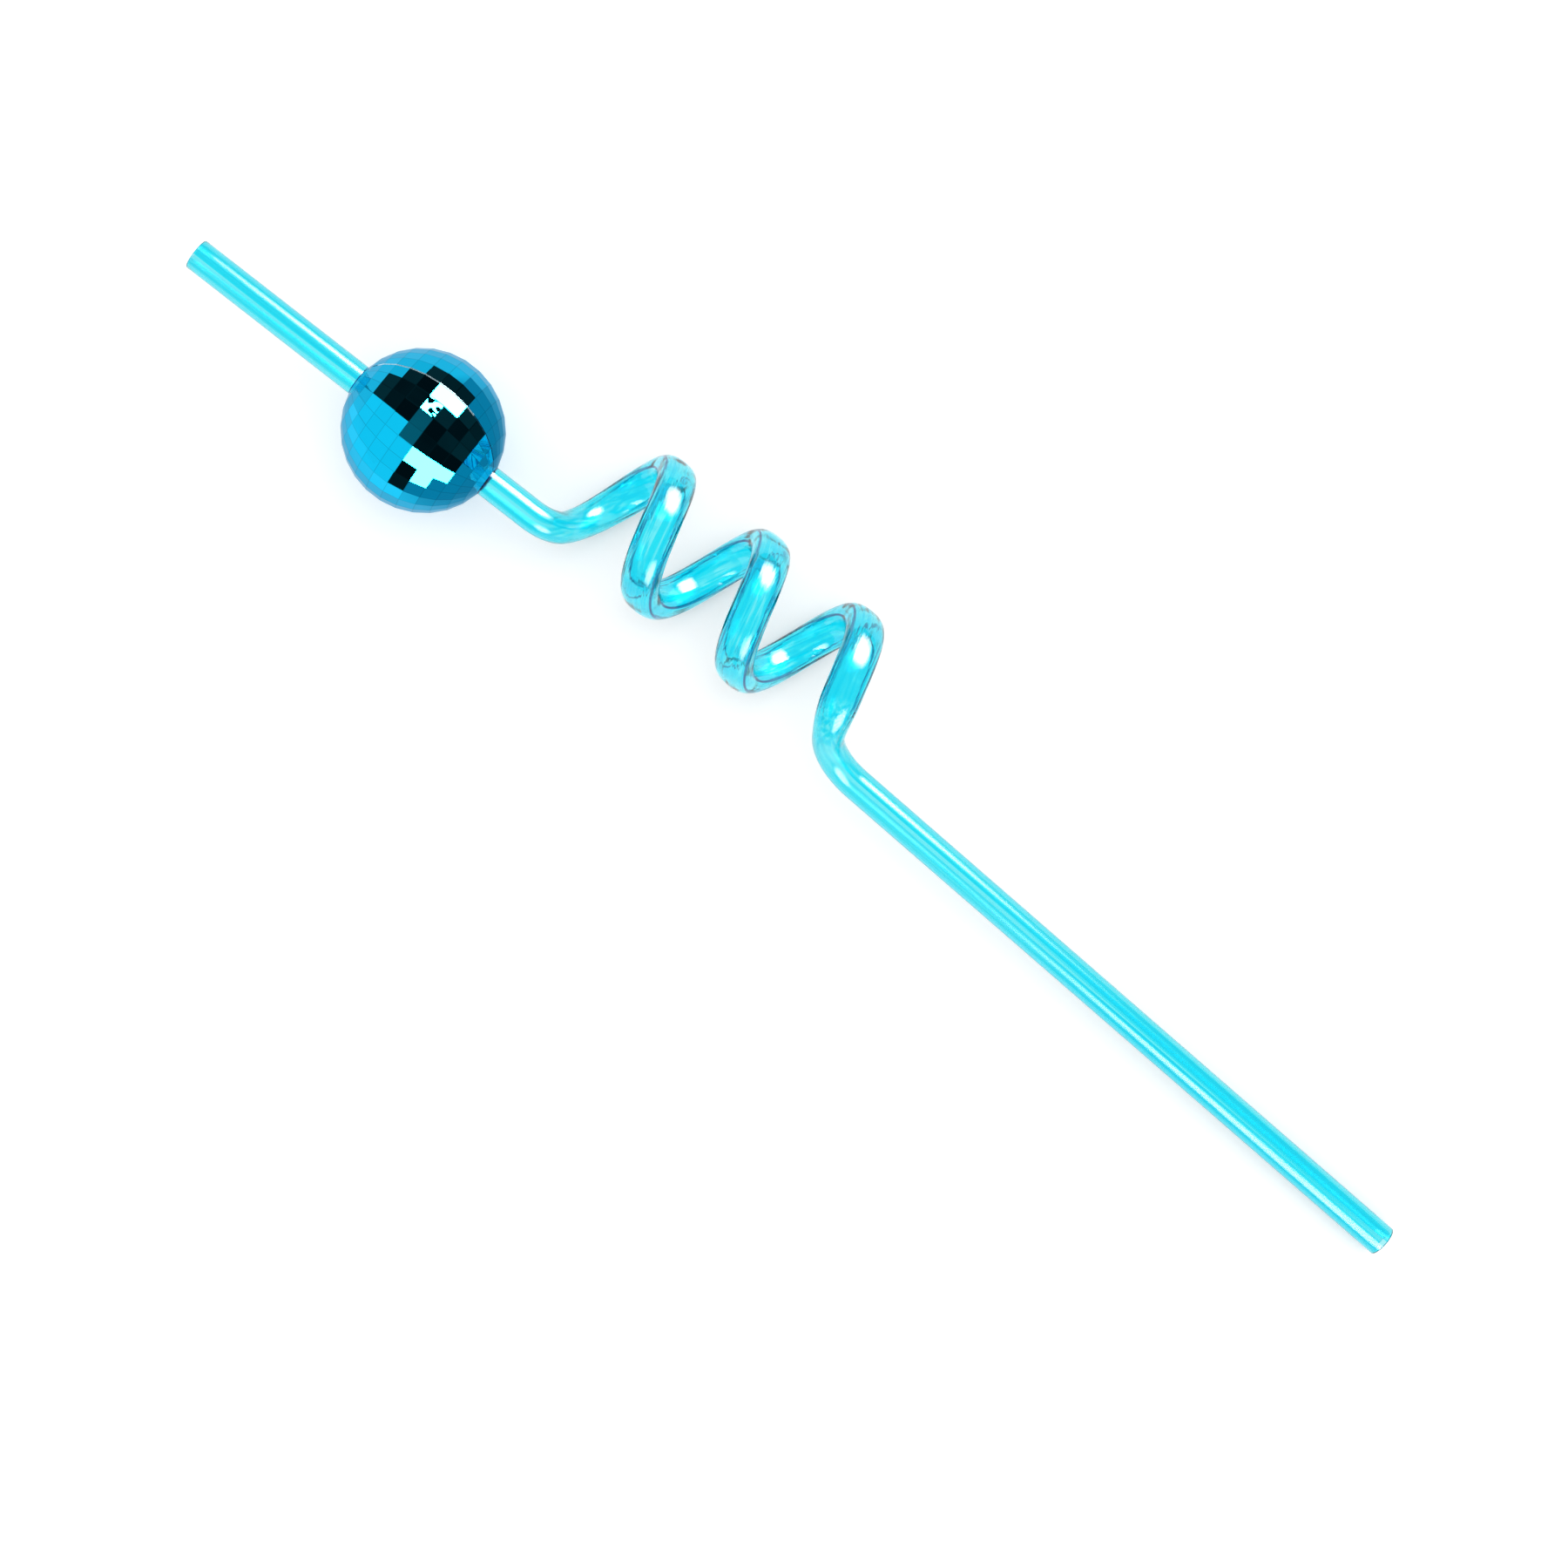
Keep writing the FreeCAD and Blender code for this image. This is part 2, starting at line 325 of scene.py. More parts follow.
class Signal:
    """A node's output that takes part in sums written in Python."""

    def __init__(self, recipe, socket):
        self.recipe = recipe
        self.socket = socket

    def _math(self, operation, *others):
        return self.recipe.node("ShaderNodeMath", {"operation": operation}, self, *others)[0]

    def __add__(self, other):
        return self._math("ADD", other)

    def __sub__(self, other):
        return self._math("SUBTRACT", other)

    def __rsub__(self, other):
        return self.recipe.node("ShaderNodeMath", {"operation": "SUBTRACT"}, other, self)[0]

    def __mul__(self, other):
        return self._math("MULTIPLY", other)

    def __pow__(self, other):
        return self._math("POWER", other)

    def __gt__(self, other):
        return self._math("GREATER_THAN", other)

    def __lt__(self, other):
        return self._math("LESS_THAN", other)

    __radd__ = __add__
    __rmul__ = __mul__

    def most(self, other):
        return self._math("MAXIMUM", other)

    def absolute(self):
        return self._math("ABSOLUTE")

    def fraction(self):
        return self._math("FRACT")


class Recipe:
    """The node tree of one material or of the world."""

    def __init__(self, tree):
        self.tree = tree
        self.tree.nodes.clear()

    def node(self, kind, settings=None, *values, **named):
        """Adds a node, sets it up, feeds its sockets and returns its outputs."""
        made = self.tree.nodes.new(kind)
        for name, value in (settings or {}).items():
            setattr(made, name, value)
        for socket, value in zip([s for s in made.inputs if s.enabled], values):
            self._feed(socket, value)
        for name, value in named.items():
            self._feed(self._input(made, name), value)
        return Outputs(self, made)

    def _input(self, made, name):
        wanted = name.replace("_", " ").lower()
        return next(s for s in made.inputs if s.enabled and s.name.lower() == wanted)

    def _feed(self, socket, value):
        if isinstance(value, Signal):
            self.tree.links.new(value.socket, socket)
        else:
            socket.default_value = value

    def ramp(self, value, start, end, low=0.0, high=1.0, ease_type="SMOOTHSTEP"):
        """Value taken from one range to another, eased at its ends."""
        return self.node("ShaderNodeMapRange", {"interpolation_type": ease_type}, Value=value,
                         From_Min=start, From_Max=end, To_Min=low, To_Max=high)[0]

    def glow(self, colour, strength):
        """Emission of a colour."""
        return self.node("ShaderNodeEmission", {}, Color=colour, Strength=strength).emission

    def noise(self, place, scale, **named):
        """Noise from 0 to 1."""
        return self.node("ShaderNodeTexNoise", {}, Vector=place, Scale=scale, **named).fac

    def blend(self, factor, low, high):
        """Mix of two colours."""
        settings = {"data_type": "RGBA", "clamp_factor": True}
        return self.node("ShaderNodeMix", settings, factor, _rgba(low), _rgba(high)).result


class Outputs:
    """A node's outputs, by number or by name."""

    def __init__(self, recipe, made):
        self.recipe = recipe
        self.made = made

    def __getitem__(self, index):
        enabled = [s for s in self.made.outputs if s.enabled]
        return Signal(self.recipe, enabled[index])

    def __getattr__(self, name):
        wanted = name.replace("_", " ").lower()
        found = next(s for s in self.made.outputs if s.enabled and s.name.lower() == wanted)
        return Signal(self.recipe, found)


def _rgba(colour):
    return colour if isinstance(colour, Signal) else (*colour[:3], 1.0)


def new_material(name):
    """A material with an empty node tree, and its recipe."""
    material = bpy.data.materials.new(name)
    material.use_nodes = True
    return material, Recipe(material.node_tree)


def clear_plastic(tint, dye, density, ball_middle, hole_reach, length):
    """Transparent dyed plastic with drawing lines along the tube, and painted shade on its
    creases, at the ball's holes and round its rims.
    """
    material, mix = new_material("clear_cyan_plastic")
    place = mix.node("ShaderNodeAttribute", {"attribute_name": "unrolled"}).vector
    flatness = mix.node("ShaderNodeAttribute", {"attribute_name": "flatness"}).fac
    unrolled = mix.node("ShaderNodeSeparateXYZ", {}, place)
    drawn_out = unrolled.x * (flatness * COIL_STRETCH + LEG_STRETCH)
    long_grain = mix.node("ShaderNodeCombineXYZ", {}, drawn_out, unrolled.y, unrolled.z).vector
    lines = mix.noise(long_grain, LINE_SCALE, Detail=2.0, Roughness=0.6)
    waves = mix.noise(place, WAVE_SCALE, Detail=1.0, Roughness=0.4)
    height = lines * flatness * LINE_HEIGHT + waves * flatness * WAVE_HEIGHT
    bump = mix.node("ShaderNodeBump", {}, Strength=1.0, Distance=SKIN_DEPTH,
                    Height=height).normal
    streak = mix.ramp(lines, *STREAK_RANGE)
    patches = mix.ramp(waves, *PATCH_RANGE)
    deeper = [channel * share for channel, share in zip(tint, DEEP_STREAK)]
    colour = mix.blend(streak.most(patches * flatness), tint, deeper)
    # Painted shade: a dark outline painted round each open end
    rim_shade = (unrolled.x < RIM_LINE).most(unrolled.x > length - RIM_LINE)
    # Painted shadow: a dark line painted across the straw at the edge of each of the ball's
    # holes
    hole_shade = ((unrolled.x - ball_middle).absolute() - hole_reach).absolute() < HOLE_SHADE_WIDTH
    # Painted shade: a dark line painted along each crease of the flattened coil
    crease_shade = (unrolled.z.absolute() - CREASE_ASIDE).absolute() < CREASE_SHADE_WIDTH
    crease_shade = crease_shade * flatness * PAINTED_DARK_SHARE
    colour = mix.blend(crease_shade.most(hole_shade), colour, PAINTED_DARK)
    colour = mix.blend(rim_shade * PAINTED_DARK_SHARE, colour, RIM_SHADE_COLOUR)
    shader = mix.node("ShaderNodeBsdfPrincipled", {}, Base_Color=colour,
                      Roughness=LEG_ROUGHNESS - flatness * COIL_SMOOTHER,
                      IOR=1.5, Transmission_Weight=1.0, Normal=bump)
    depth = mix.node("ShaderNodeVolumeAbsorption", {}, Color=_rgba(dye),
                     Density=density).volume
    mix.node("ShaderNodeOutputMaterial", {}, Surface=shader.bsdf, Volume=depth)
    return material


def mirror_coat(tint):
    """Coloured mirror coating on moulded facets, each a little different, with painted shade
    on the facet edges and a painted highlight and painted shade on the seam.
    """
    material, mix = new_material("blue_mirror_coating")
    tone = mix.node("ShaderNodeAttribute", {"attribute_name": "tile_tone"}).fac
    edge = mix.node("ShaderNodeAttribute", {"attribute_name": "tile_edge"}).fac
    seam = mix.node("ShaderNodeAttribute", {"attribute_name": "seam_edge"}).fac
    place = mix.node("ShaderNodeTexCoord", {}).object
    ripple = mix.noise(place, RIPPLE_SCALE, Detail=1.0)
    bump = mix.node("ShaderNodeBump", {}, Strength=RIPPLE_STRENGTH, Distance=RIPPLE_DEPTH,
                    Height=ripple).normal
    deep = [channel * DEEP_TILE for channel in tint]
    colour = mix.blend(tone, deep, tint)
    # Painted shade: the rounded edges between facets are darkened towards FACET_EDGE
    colour = mix.blend(edge * EDGE_SHARE, colour, FACET_EDGE)
    # Painted highlight and painted shade: the seam is pale on its lit stretch along the leg
    # and dark beyond it
    leg = BALL_TURN @ Vector((0.0, 0.0, 1.0))
    along = dot(mix, place, leg) - BALL_CENTRE.dot(leg)
    shadowed = (along > SEAM_LIT_TO).most(along < SEAM_LIT_FROM)
    seam_painted_light = mix.blend(shadowed, SEAM_LIT, SEAM_SHADOWED)
    colour = mix.blend(seam * SEAM_SHARE, colour, seam_painted_light)
    shader = mix.node("ShaderNodeBsdfPrincipled", {}, Base_Color=colour, Metallic=1.0,
                      Roughness=seam * SEAM_ROUGHNESS, Specular_Tint=GLANCING_TINT,
                      Normal=bump)
    mix.node("ShaderNodeOutputMaterial", {}, Surface=shader.bsdf)
    return material


class Station:
    """One place on the straw's line: point, direction, outward side and flatness."""

    def __init__(self, point, along, outward, flatness):
        self.point = point
        self.along = along.normalized()
        self.outward = (outward - self.along * outward.dot(self.along)).normalized()
        self.side = self.along.cross(self.outward)
        self.flatness = flatness

    def place(self, angle, sizes):
        """Point of the tube's outside at an angle round this station."""
        radius = sizes.tube_diameter / 2.0
        width = radius + (sizes.coil_width / 2.0 - radius) * self.flatness
        depth = radius + (sizes.coil_thickness / 2.0 - radius) * self.flatness
        power = 2.0 + (sizes.coil_squareness - 2.0) * self.flatness
        inward, sideways = math.cos(angle), math.sin(angle)
        reach = (abs(inward) ** power + abs(sideways) ** power) ** (-1.0 / power)
        across = self.outward * (-depth * inward * reach)
        return self.point + across + self.side * (width * sideways * reach)


def ease(share):
    """Ease from 0 to 1."""
    held = min(max(share, 0.0), 1.0)
    return held * held * (3.0 - 2.0 * held)


def leg_direction(lean, pitch):
    """Direction of a leg from its lean in plan and its slope."""
    flat = math.cos(pitch)
    return Vector((flat * math.cos(lean), -flat * math.sin(lean), math.sin(pitch)))


def coil_station(angle, sizes):
    """Station on the coil at an angle about its axis."""
    advance = sizes.coil_pitch / (2.0 * math.pi)
    outward = Vector((0.0, math.cos(angle), math.sin(angle)))
    around = Vector((0.0, -math.sin(angle), math.cos(angle)))
    forward = advance * angle + sizes.coil_slant * math.cos(angle)
    gain = advance - sizes.coil_slant * math.sin(angle)
    along = Vector((gain, 0.0, 0.0)) + around * sizes.coil_radius
    from_upper = ease((angle - sizes.coil_start) / sizes.upper_blend)
    from_lower = ease((sizes.coil_end - angle) / sizes.lower_blend)
    point = Vector((forward, 0.0, 0.0)) + outward * sizes.coil_radius
    return Station(point, along, outward, from_upper * from_lower)


def bend_stations(start, heading, leg, radius):
    """Round bend from a station, passed with a heading, into a leg's direction."""
    turn = heading.angle(leg)
    across = (leg - heading * heading.dot(leg)).normalized()
    centre = start.point + across * radius
    count = max(2, round(turn / RING_TURN))
    stations = []
    for index in range(1, count + 1):
        angle = turn * index / count
        spoke = heading * math.sin(angle) - across * math.cos(angle)
        along = heading * math.cos(angle) + across * math.sin(angle)
        stations.append(Station(centre + spoke * radius, along, start.outward, 0.0))
    return stations


def straight_stations(end, length):
    """Stations along a leg, the last at its end."""
    count = round(length / RING_STEP)
    return [
        Station(end.point + end.along * (length * index / count), end.along, end.outward, 0.0)
        for index in range(1, count + 1)
    ]


def straw_stations(sizes):
    """Every station from the upper end to the lower end, in the coil's own frame."""
    count = round((sizes.coil_end - sizes.coil_start) / RING_TURN)
    turn = (sizes.coil_end - sizes.coil_start) / count
    coil = [coil_station(sizes.coil_start + turn * index, sizes) for index in range(count + 1)]
    upper_leg = leg_direction(sizes.upper_lean, sizes.upper_pitch)
    lower_leg = leg_direction(sizes.lower_lean, sizes.lower_pitch)
    upper = bend_stations(coil[0], -coil[0].along, -upper_leg, sizes.upper_bend)
    upper += straight_stations(upper[-1], sizes.upper_leg)
    lower = bend_stations(coil[-1], coil[-1].along, lower_leg, sizes.lower_bend)
    lower += straight_stations(lower[-1], sizes.lower_leg)
    turned = [Station(s.point, -s.along, s.outward, s.flatness) for s in reversed(upper)]
    return turned + coil + lower


def lay_down(point):
    """A point of the coil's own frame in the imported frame."""
    return REST_TURN @ point + REST_SHIFT


def select_only(piece):
    """Makes a piece the only selected object, and the active one."""
    bpy.ops.object.select_all(action="DESELECT")
    piece.select_set(True)
    bpy.context.view_layer.objects.active = piece


def finish_piece(piece, name, material, node):
    """Names a finished piece, dresses it and puts it on the straw's body."""
    piece.name = name
    piece.data.name = name
    piece.data.materials.clear()
    piece.data.materials.append(material)
    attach(piece, "root")
    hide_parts(node)


def apply_modifier(piece, kind, **settings):
    """Adds a modifier, sets it up and applies it."""
    select_only(piece)
    bpy.ops.object.modifier_add(type=kind)
    modifier = piece.modifiers[-1]
    for name, value in settings.items():
        setattr(modifier, name, value)
    bpy.ops.object.modifier_apply(modifier=modifier.name)


def extrude_rings(stations, sizes):
    """Draws a circle out along the stations, ring by ring, and returns the open tube."""
    sides = sizes.ring_sides
    bpy.ops.object.select_all(action="DESELECT")
    bpy.ops.mesh.primitive_circle_add(
        vertices=sides, radius=sizes.tube_diameter / 2.0, fill_type="NOTHING",
        location=(0.0, 0.0, 0.0))
    tube = bpy.context.object
    bpy.ops.object.mode_set(mode="EDIT")
    bpy.ops.mesh.select_mode(type="VERT")
    bpy.ops.mesh.select_all(action="SELECT")
    edited = bmesh.from_edit_mesh(tube.data)
    turn = edited.verts.layers.float.new("turn")
    unrolled = edited.verts.layers.float_vector.new("unrolled")
    flatness = edited.verts.layers.float.new("flatness")
    for vertex in edited.verts:
        vertex[turn] = math.atan2(vertex.co.y, vertex.co.x)
    radius = sizes.tube_diameter / 2.0
    length = 0.0
    before = stations[0]
    for index, station in enumerate(stations):
        if index:
            bpy.ops.mesh.extrude_region()
        edited = bmesh.from_edit_mesh(tube.data)
        turn = edited.verts.layers.float["turn"]
        unrolled = edited.verts.layers.float_vector["unrolled"]
        flatness = edited.verts.layers.float["flatness"]
        length += (station.point - before.point).length
        before = station
        for vertex in edited.verts:
            if vertex.select:
                angle = vertex[turn]
                vertex.co = lay_down(station.place(angle, sizes))
                vertex[flatness] = station.flatness
                vertex[unrolled] = Vector(
                    (length, radius * math.cos(angle), radius * math.sin(angle)))
    bpy.ops.mesh.select_all(action="SELECT")
    bpy.ops.mesh.normals_make_consistent(inside=False)
    bpy.ops.object.mode_set(mode="OBJECT")
    return tube


class STRAW_OT_tube(bpy.types.Operator):
    """Model the clear tube: upper leg, bend, flattened coil, bend and lower leg"""

    bl_idname = "straw.tube"
    bl_label = "Tube"

    def execute(self, context):
        sizes = context.scene.straw_sizes
        stations = straw_stations(sizes)
        tube = extrude_rings(stations, sizes)
        apply_modifier(tube, "SOLIDIFY", thickness=sizes.tube_wall, offset=-1.0,
                       use_even_offset=True, use_quality_normals=True, use_rim=True)
        apply_modifier(tube, "BEVEL", width=sizes.rim_round, segments=3, limit_method="ANGLE",
                       angle_limit=RIM_ANGLE)
        select_only(tube)
        bpy.ops.object.shade_smooth_by_angle(angle=HARD_ANGLE)
        colours = context.scene.straw_colours
        ball = context.scene.straw_ball
        reach = ball.diameter / 2.0 * math.cos(math.pi / ball.rows)
        length = sum((later.point - earlier.point).length
                     for earlier, later in zip(stations, stations[1:]))
        plastic = clear_plastic(colours.plastic, colours.dye, colours.dye_density,
                                ball.from_upper_end, reach, length)
        finish_piece(tube, "clear_tube_drawn", plastic, "straw_tube")
        return {"FINISHED"}


class STRAW_OT_ball(bpy.types.Operator):
    """Model the two half shells of the faceted ball, with rounded facet edges"""

    bl_idname = "straw.ball"
    bl_label = "Mirror Ball"

    def execute(self, context):
        sizes = context.scene.straw_ball
        coat = mirror_coat(context.scene.straw_colours.mirror)
        chance = random.Random(TONE_SEED)
        tones = [[chance.random() for _ in range(sizes.columns)] for _ in range(sizes.rows)]
        for node in ("ball_half_lipped", "ball_half_grooved"):
            shell = merged_copy(node)
            round_facet_edges(shell, sizes)
            tone_tiles(shell, sizes, tones)
            finish_piece(shell, node.replace("half", "shell"), coat, node)
        return {"FINISHED"}


def merged_copy(node):
    """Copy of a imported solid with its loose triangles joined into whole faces."""
    piece = bpy.data.objects.new(node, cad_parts[node].data.copy())
    bpy.context.scene.collection.objects.link(piece)
    select_only(piece)
    bpy.ops.object.mode_set(mode="EDIT")
    bpy.ops.mesh.select_all(action="SELECT")
    bpy.ops.mesh.remove_doubles(threshold=JOIN_GAP)
    bpy.ops.mesh.dissolve_limited(angle_limit=FACET_BEND)
    bpy.ops.object.mode_set(mode="OBJECT")
    return piece


def in_ball(point):
    """A packed point in the ball's own frame."""
    return BALL_TURN.inverted() @ (point - BALL_CENTRE)


def round_facet_edges(shell, sizes):
    """Rounds the edges between the facets, clear of the flats round the tube."""
    radius = sizes.diameter / 2.0
    flat = radius * math.sin(math.pi / 2.0 - math.pi / sizes.rows)
    select_only(shell)
    bpy.ops.object.mode_set(mode="EDIT")
    bpy.ops.mesh.select_mode(type="EDGE")
    bpy.ops.mesh.select_all(action="DESELECT")
    edited = bmesh.from_edit_mesh(shell.data)
    for edge in edited.edges:
        ends = [in_ball(vertex.co) for vertex in edge.verts]
        on_ball = all(radius - end.length < SKIN_GAP for end in ends)
        on_flat = all(flat - abs(end.z) < SKIN_GAP for end in ends)
        if on_ball and not on_flat:
            edge.select_set(True)
    bmesh.update_edit_mesh(shell.data)
    bpy.ops.mesh.bevel(offset=sizes.edge_round, segments=2, profile=0.5, affect="EDGES",
                       clamp_overlap=False)
    edited = bmesh.from_edit_mesh(shell.data)
    tile_edge = edited.faces.layers.float.new("tile_edge")
    seam_edge = edited.faces.layers.float.new("seam_edge")
    for face in edited.faces:
        middle = in_ball(face.calc_center_median())
        if radius - middle.length < STRIP_DEPTH and face.calc_area() < STRIP_AREA:
            on_seam = abs(middle.y) < sizes.seam_gap + sizes.edge_round
            face[seam_edge if on_seam else tile_edge] = 1.0
    bpy.ops.object.mode_set(mode="OBJECT")


def tone_tiles(shell, sizes, tones):
    """Gives every facet its own tone, in the attribute that the coating reads."""
    tone = shell.data.attributes.new("tile_tone", "FLOAT", "FACE")
    for face in shell.data.polygons:
        place = in_ball(face.center)
        latitude = math.asin(place.z / place.length) / math.pi + 0.5
        longitude = math.atan2(place.y, place.x) / (2.0 * math.pi) % 1.0
        row = min(int(latitude * sizes.rows), sizes.rows - 1)
        column = min(int(longitude * sizes.columns), sizes.columns - 1)
        tone.data[face.index].value = tones[row][column]


class STRAW_OT_stage(bpy.types.Operator):
    """Set the white sweep, the lamps, the surroundings and the camera"""

    bl_idname = "straw.stage"
    bl_label = "Stage"

    def execute(self, context):
        scene = context.scene
        bpy.ops.object.select_all(action="DESELECT")
        bpy.ops.mesh.primitive_plane_add(size=SWEEP_SIDE, location=(0.0, 0.0, SWEEP_HEIGHT))
        sweep = context.object
        sweep.name = "white_sweep"
        material = sweep_paint(scene.straw_colours.floor)
        sweep.data.materials.append(material)
        set_surroundings(scene)
        add_softbox("softbox_key", KEY_PLACE, KEY_SIDES, KEY_POWER)
        for panel in PANELS:
            add_panel(*panel)
        add_camera(scene)
        scene.view_settings.view_transform = "Standard"
        return {"FINISHED"}


def sweep_paint(colour):
    """White paper that glows in the picture, with painted shade and a painted shadow round the
    ball's foot that only the ball's facets show.
    """
    material, mix = new_material("white_sweep")
    path = mix.node("ShaderNodeLightPath", {})
    seen = path.is_camera_ray.most(path.is_glossy_ray).most(path.is_transmission_ray)
    paint = mix.node("ShaderNodeBsdfDiffuse", {}, Color=_rgba(colour)).bsdf
    paint = mix.node("ShaderNodeAddShader", {}, paint, mix.glow(WHITE, seen * SWEEP_GLOW))[0]
    white = mix.node("ShaderNodeMixShader", {}, path.is_transmission_ray, paint,
                     mix.glow(WHITE, 1.0))[0]
    # Painted shade: the sweep as the ball's facets mirror it turns to this colour round the
    # ball's foot and to one side
    shaded_sweep = mix.glow(SWEEP_SHADE, 1.0)
    place = mix.node("ShaderNodeTexCoord", {}).object
    foot = Vector((BALL_CENTRE.x, BALL_CENTRE.y, 0.0))
    apart = mix.node("ShaderNodeVectorMath", {"operation": "DISTANCE"}, place, foot).value
    most, near, far_off = FOOT_SHADE
    shade = mix.ramp(apart, near, far_off, most, 0.0)
    right, up = PICTURE_AXES[:2]
    for rightward, upward, most, near, far_off in SIDE_SHADES:
        dim_side = right * rightward + up * upward
        aside = dot(mix, place, dim_side) - BALL_CENTRE.dot(dim_side)
        shade = mix.ramp(aside, near, far_off, 0.0, most).most(shade)
    paper = mix.node("ShaderNodeMixShader", {}, shade * sharp_mirror(path), white, shaded_sweep)[0]
    mix.node("ShaderNodeOutputMaterial", {}, Surface=paper)
    return material


def sharp_mirror(path):
    """Whether a ray comes from a mirror finish, as the ball's facets have."""
    return path.is_singular_ray * path.is_glossy_ray * (1.0 - path.is_transmission_ray)


def dot(mix, vector, axis):
    """Share of a vector along a fixed axis."""
    return mix.node("ShaderNodeVectorMath", {"operation": "DOT_PRODUCT"}, vector, axis).value


def patch(mix, heading, centre, inner, outer):
    """Mask of a round patch of the surroundings, from its centre and two half angles."""
    nearness = dot(mix, heading, in_picture(centre))
    return mix.ramp(nearness, math.cos(math.radians(outer)), math.cos(math.radians(inner)))


def in_picture(parts):
    """Packed direction from its parts to the picture's right, up and back."""
    whole = sum((axis * part for axis, part in zip(PICTURE_AXES, parts)), Vector())
    return (REST_TURN @ whole).normalized()


def set_surroundings(scene):
    """White room, dimmer in glossy plastic, and a dark studio with lamps in the facets."""
    world = bpy.data.worlds.new("studio_surroundings")
    world.use_nodes = True
    scene.world = world
    mix = Recipe(world.node_tree)
    path = mix.node("ShaderNodeLightPath", {})
    heading = mix.node("ShaderNodeTexCoord", {}).generated
    right, up = (dot(mix, heading, REST_TURN @ axis) for axis in PICTURE_AXES[:2])
    first = path.diffuse_depth < 0.5
    mirrored = sharp_mirror(path) * first
    glossy = path.is_glossy_ray * (1.0 - path.is_transmission_ray) * (1.0 - mirrored) * first
    wall, low, slats = (right * parts[0] + up * parts[1]
                        for parts in (WALL_SLANT, LOW_SLANT, SLAT_SLANT))
    corner = (up < CORNER_TOP) * (right < CORNER_SIDE)
    left_wall = (wall < WALL_EDGE) * (1.0 - corner)
    low_panel = (low < LOW_EDGE) * (right > LOW_SIDE) * (up < LOW_TOP)
    ceiling = patch(mix, heading, *CEILING_PATCH)
    clutter = mix.noise(heading, CLUTTER_SCALE, Detail=2.0)
    clutter = mix.ramp(clutter, *CLUTTER_RANGE, ease_type="LINEAR")
    studio = mix.blend(clutter, STUDIO_DARK, STUDIO_CLUTTER)
    studio = mix.blend(left_wall, studio, STUDIO_WALL)
    studio = mix.blend(ceiling, studio, STUDIO_CEILING)
    room = mix.blend(glossy, WHITE, GLOSSY_ROOM)
    room = mix.blend(mirrored, room, studio)
    softbox = patch(mix, heading, *SOFTBOX_PATCH) ** 2.0
    blinds = ((slats * SLATS).fraction() > SLAT_GAP) * patch(mix, heading, *BLINDS_PATCH)
    lit = ((softbox + blinds) * SOFTBOX_LIGHT + low_panel * LOW_LIGHT) * mirrored
    base = mix.node("ShaderNodeBackground", {}, Color=room, Strength=1.0).background
    lamps = mix.node("ShaderNodeBackground", {}, Color=WHITE, Strength=lit).background
    both = mix.node("ShaderNodeAddShader", {}, base, lamps)[0]
    mix.node("ShaderNodeOutputWorld", {}, Surface=both)


def add_panel(name, parts, distance, half_width, soft_share, strength):
    """Round lit panel that only glossy plastic shows, turned to the ball."""
    towards = in_picture(parts)
    bpy.ops.object.select_all(action="DESELECT")
    bpy.ops.mesh.primitive_plane_add(size=2.0 * half_width, location=(0.0, 0.0, 0.0))
    panel = bpy.context.object
    panel.name = name
    panel.matrix_world = (Matrix.Translation(BALL_CENTRE + towards * distance)
                          @ (-towards).to_track_quat("Z", "Y").to_matrix().to_4x4())
    material, mix = new_material(name)
    path = mix.node("ShaderNodeLightPath", {})
    through = path.is_transmission_ray
    shown = path.is_glossy_ray.most(through) * (path.diffuse_depth < 0.5)
    shown = shown * (path.glossy_depth < 1.5) * (1.0 - sharp_mirror(path))
    place = mix.node("ShaderNodeTexCoord", {}).object
    from_middle = mix.node("ShaderNodeVectorMath", {"operation": "LENGTH"}, place).value
    glow = mix.ramp(from_middle, half_width * (1.0 - soft_share), half_width, 1.0, 0.0)
    lamp = mix.glow(WHITE, (1.0 - through * PANEL_THROUGH) * strength)
    clear = mix.node("ShaderNodeBsdfTransparent", {}).bsdf
    both = mix.node("ShaderNodeMixShader", {}, glow * shown, clear, lamp)[0]
    mix.node("ShaderNodeOutputMaterial", {}, Surface=both)
    panel.data.materials.append(material)
    panel.visible_shadow = False
    panel.visible_diffuse = False


def add_softbox(name, place, size, power):
    """Rectangular lamp that faces the middle of the straw."""
    lamp = bpy.data.lights.new(name, "AREA")
    lamp.shape = "RECTANGLE"
    lamp.size, lamp.size_y = size
    lamp.energy = power
    holder = bpy.data.objects.new(name, lamp)
    bpy.context.scene.collection.objects.link(holder)
    holder.visible_glossy = False
    holder.visible_transmission = False
    place = Vector(place)
    holder.matrix_world = (
        Matrix.Translation(place) @ (-place).to_track_quat("-Z", "Y").to_matrix().to_4x4())


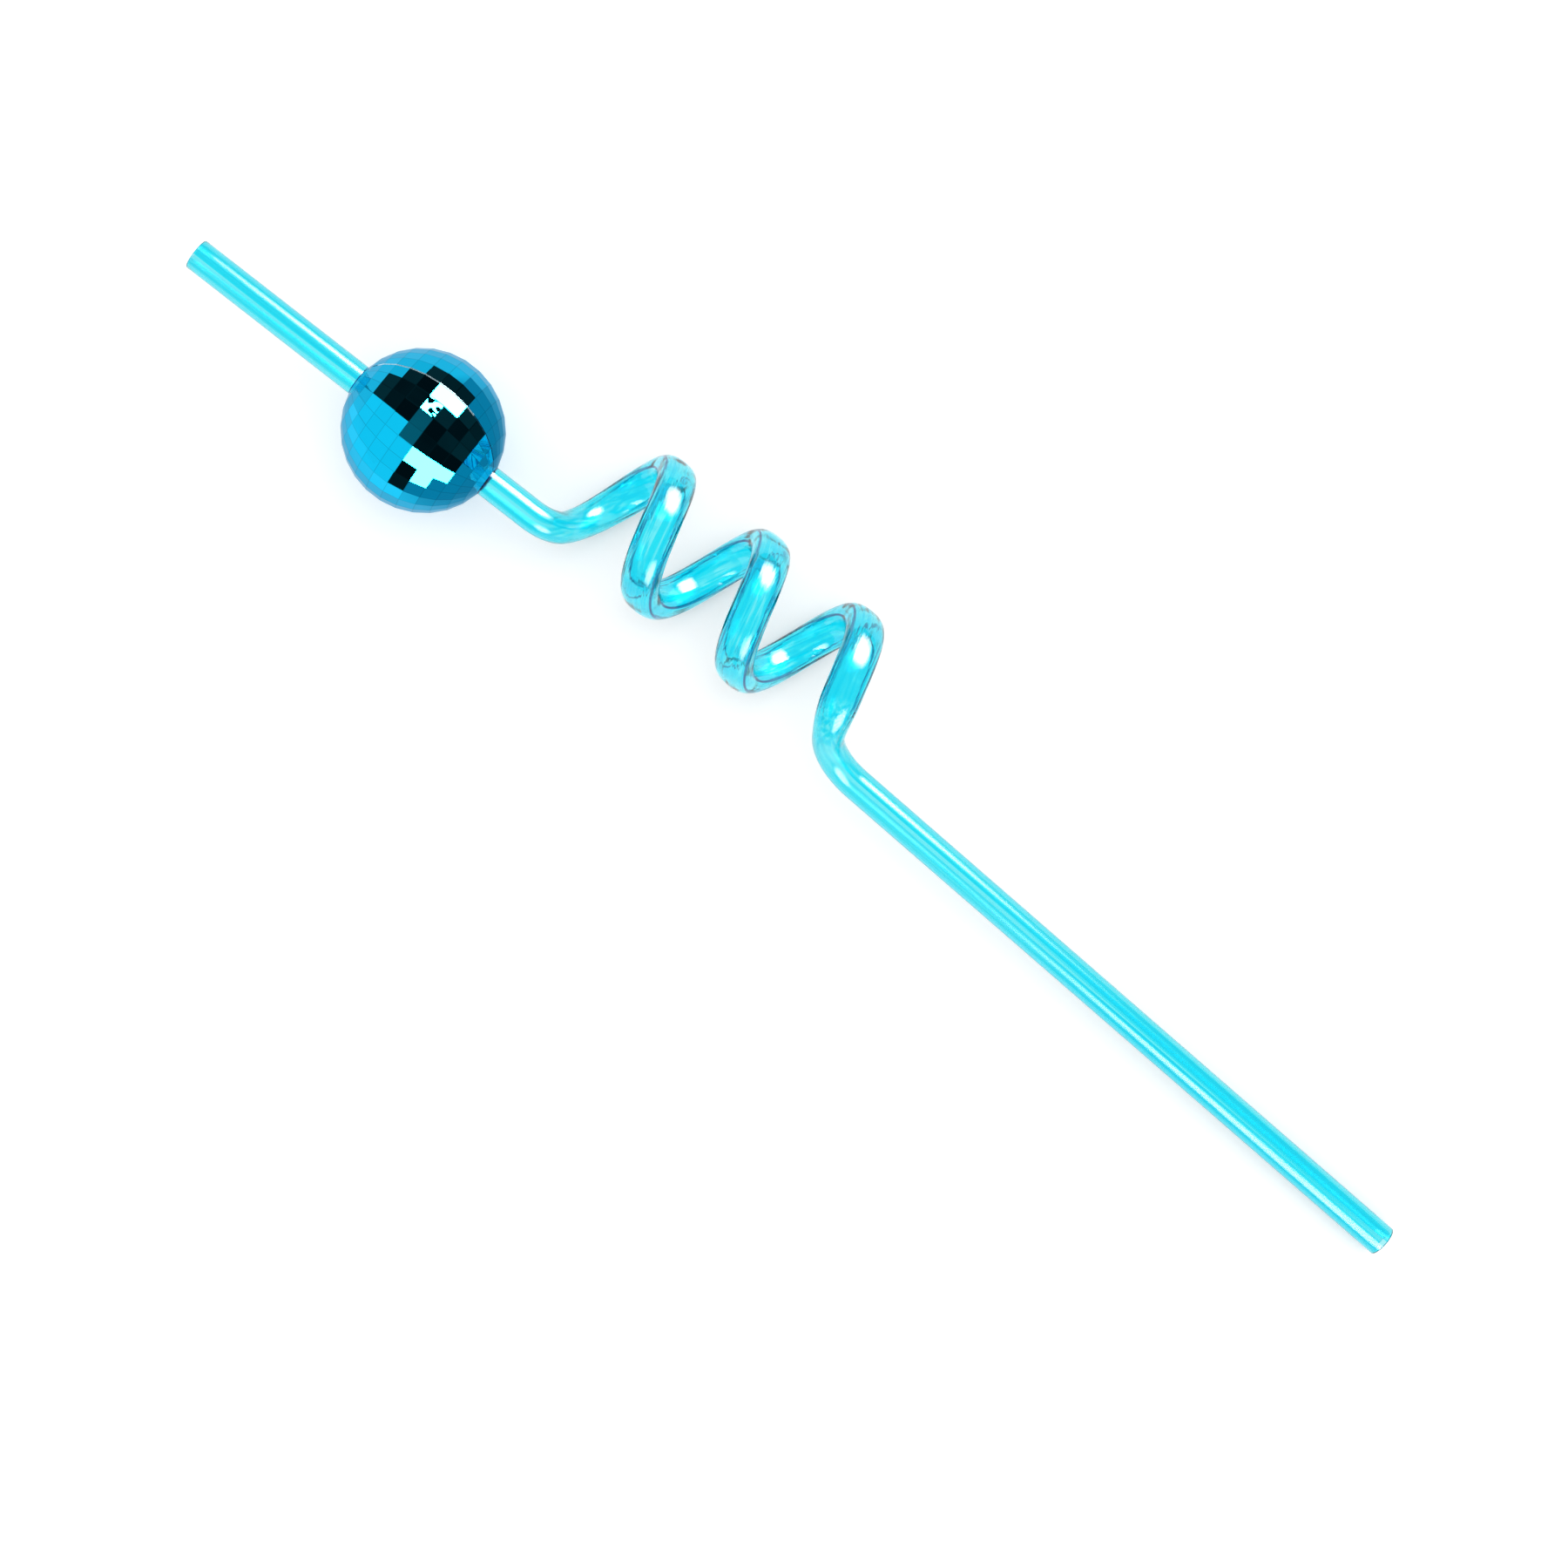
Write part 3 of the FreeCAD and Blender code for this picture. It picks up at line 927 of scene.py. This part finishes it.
def add_camera(scene):
    """Camera of the product picture, looking straight down."""
    camera = bpy.data.cameras.new("product_camera")
    holder = bpy.data.objects.new("product_camera", camera)
    scene.collection.objects.link(holder)
    right, up, back = PICTURE_AXES
    half = PICTURE_PIXELS / 2.0
    offset = (right * (half - KNOWN_PIXEL[0]) - up * (half - KNOWN_PIXEL[1])
              + back * FAR_PIXELS)
    point = KNOWN_POINT + offset * PIXEL
    turn = Matrix((REST_TURN @ right, REST_TURN @ up, REST_TURN @ back)).transposed()
    holder.matrix_world = Matrix.Translation(lay_down(point)) @ turn.to_4x4()
    camera.sensor_width = FILM_WIDTH
    camera.lens = FAR_PIXELS / PICTURE_PIXELS * FILM_WIDTH
    camera.clip_start, camera.clip_end = 0.01, 10.0
    scene.camera = holder


class STRAW_PT_panel(bpy.types.Panel):
    """Sizes, colours and steps of the straw."""

    bl_idname = "STRAW_PT_panel"
    bl_label = "Coiled Straw"
    bl_space_type = "VIEW_3D"
    bl_region_type = "UI"
    bl_category = "Straw"

    def draw(self, context):
        scene = context.scene
        for group in (scene.straw_sizes, scene.straw_ball, scene.straw_colours):
            box = self.layout.box()
            for name in group.bl_rna.properties.keys():
                if name not in ("rna_type", "name"):
                    box.prop(group, name)
        for operator in (STRAW_OT_tube, STRAW_OT_ball, STRAW_OT_stage):
            self.layout.operator(operator.bl_idname)


CLASSES = (StrawSizes, BallSizes, StrawColours, STRAW_OT_tube, STRAW_OT_ball, STRAW_OT_stage,
           STRAW_PT_panel)


def register():
    """Registers the classes and hangs the settings on the scene."""
    for part in CLASSES:
        bpy.utils.register_class(part)
    bpy.types.Scene.straw_sizes = PointerProperty(type=StrawSizes)
    bpy.types.Scene.straw_ball = PointerProperty(type=BallSizes)
    bpy.types.Scene.straw_colours = PointerProperty(type=StrawColours)


def unregister():
    """Takes the settings and classes away again."""
    del bpy.types.Scene.straw_sizes
    del bpy.types.Scene.straw_ball
    del bpy.types.Scene.straw_colours
    for part in reversed(CLASSES):
        bpy.utils.unregister_class(part)


def main():
    """Models everything."""
    register()
    bpy.ops.straw.tube()
    bpy.ops.straw.ball()
    bpy.ops.straw.stage()


if __name__ == "__main__":
    main()
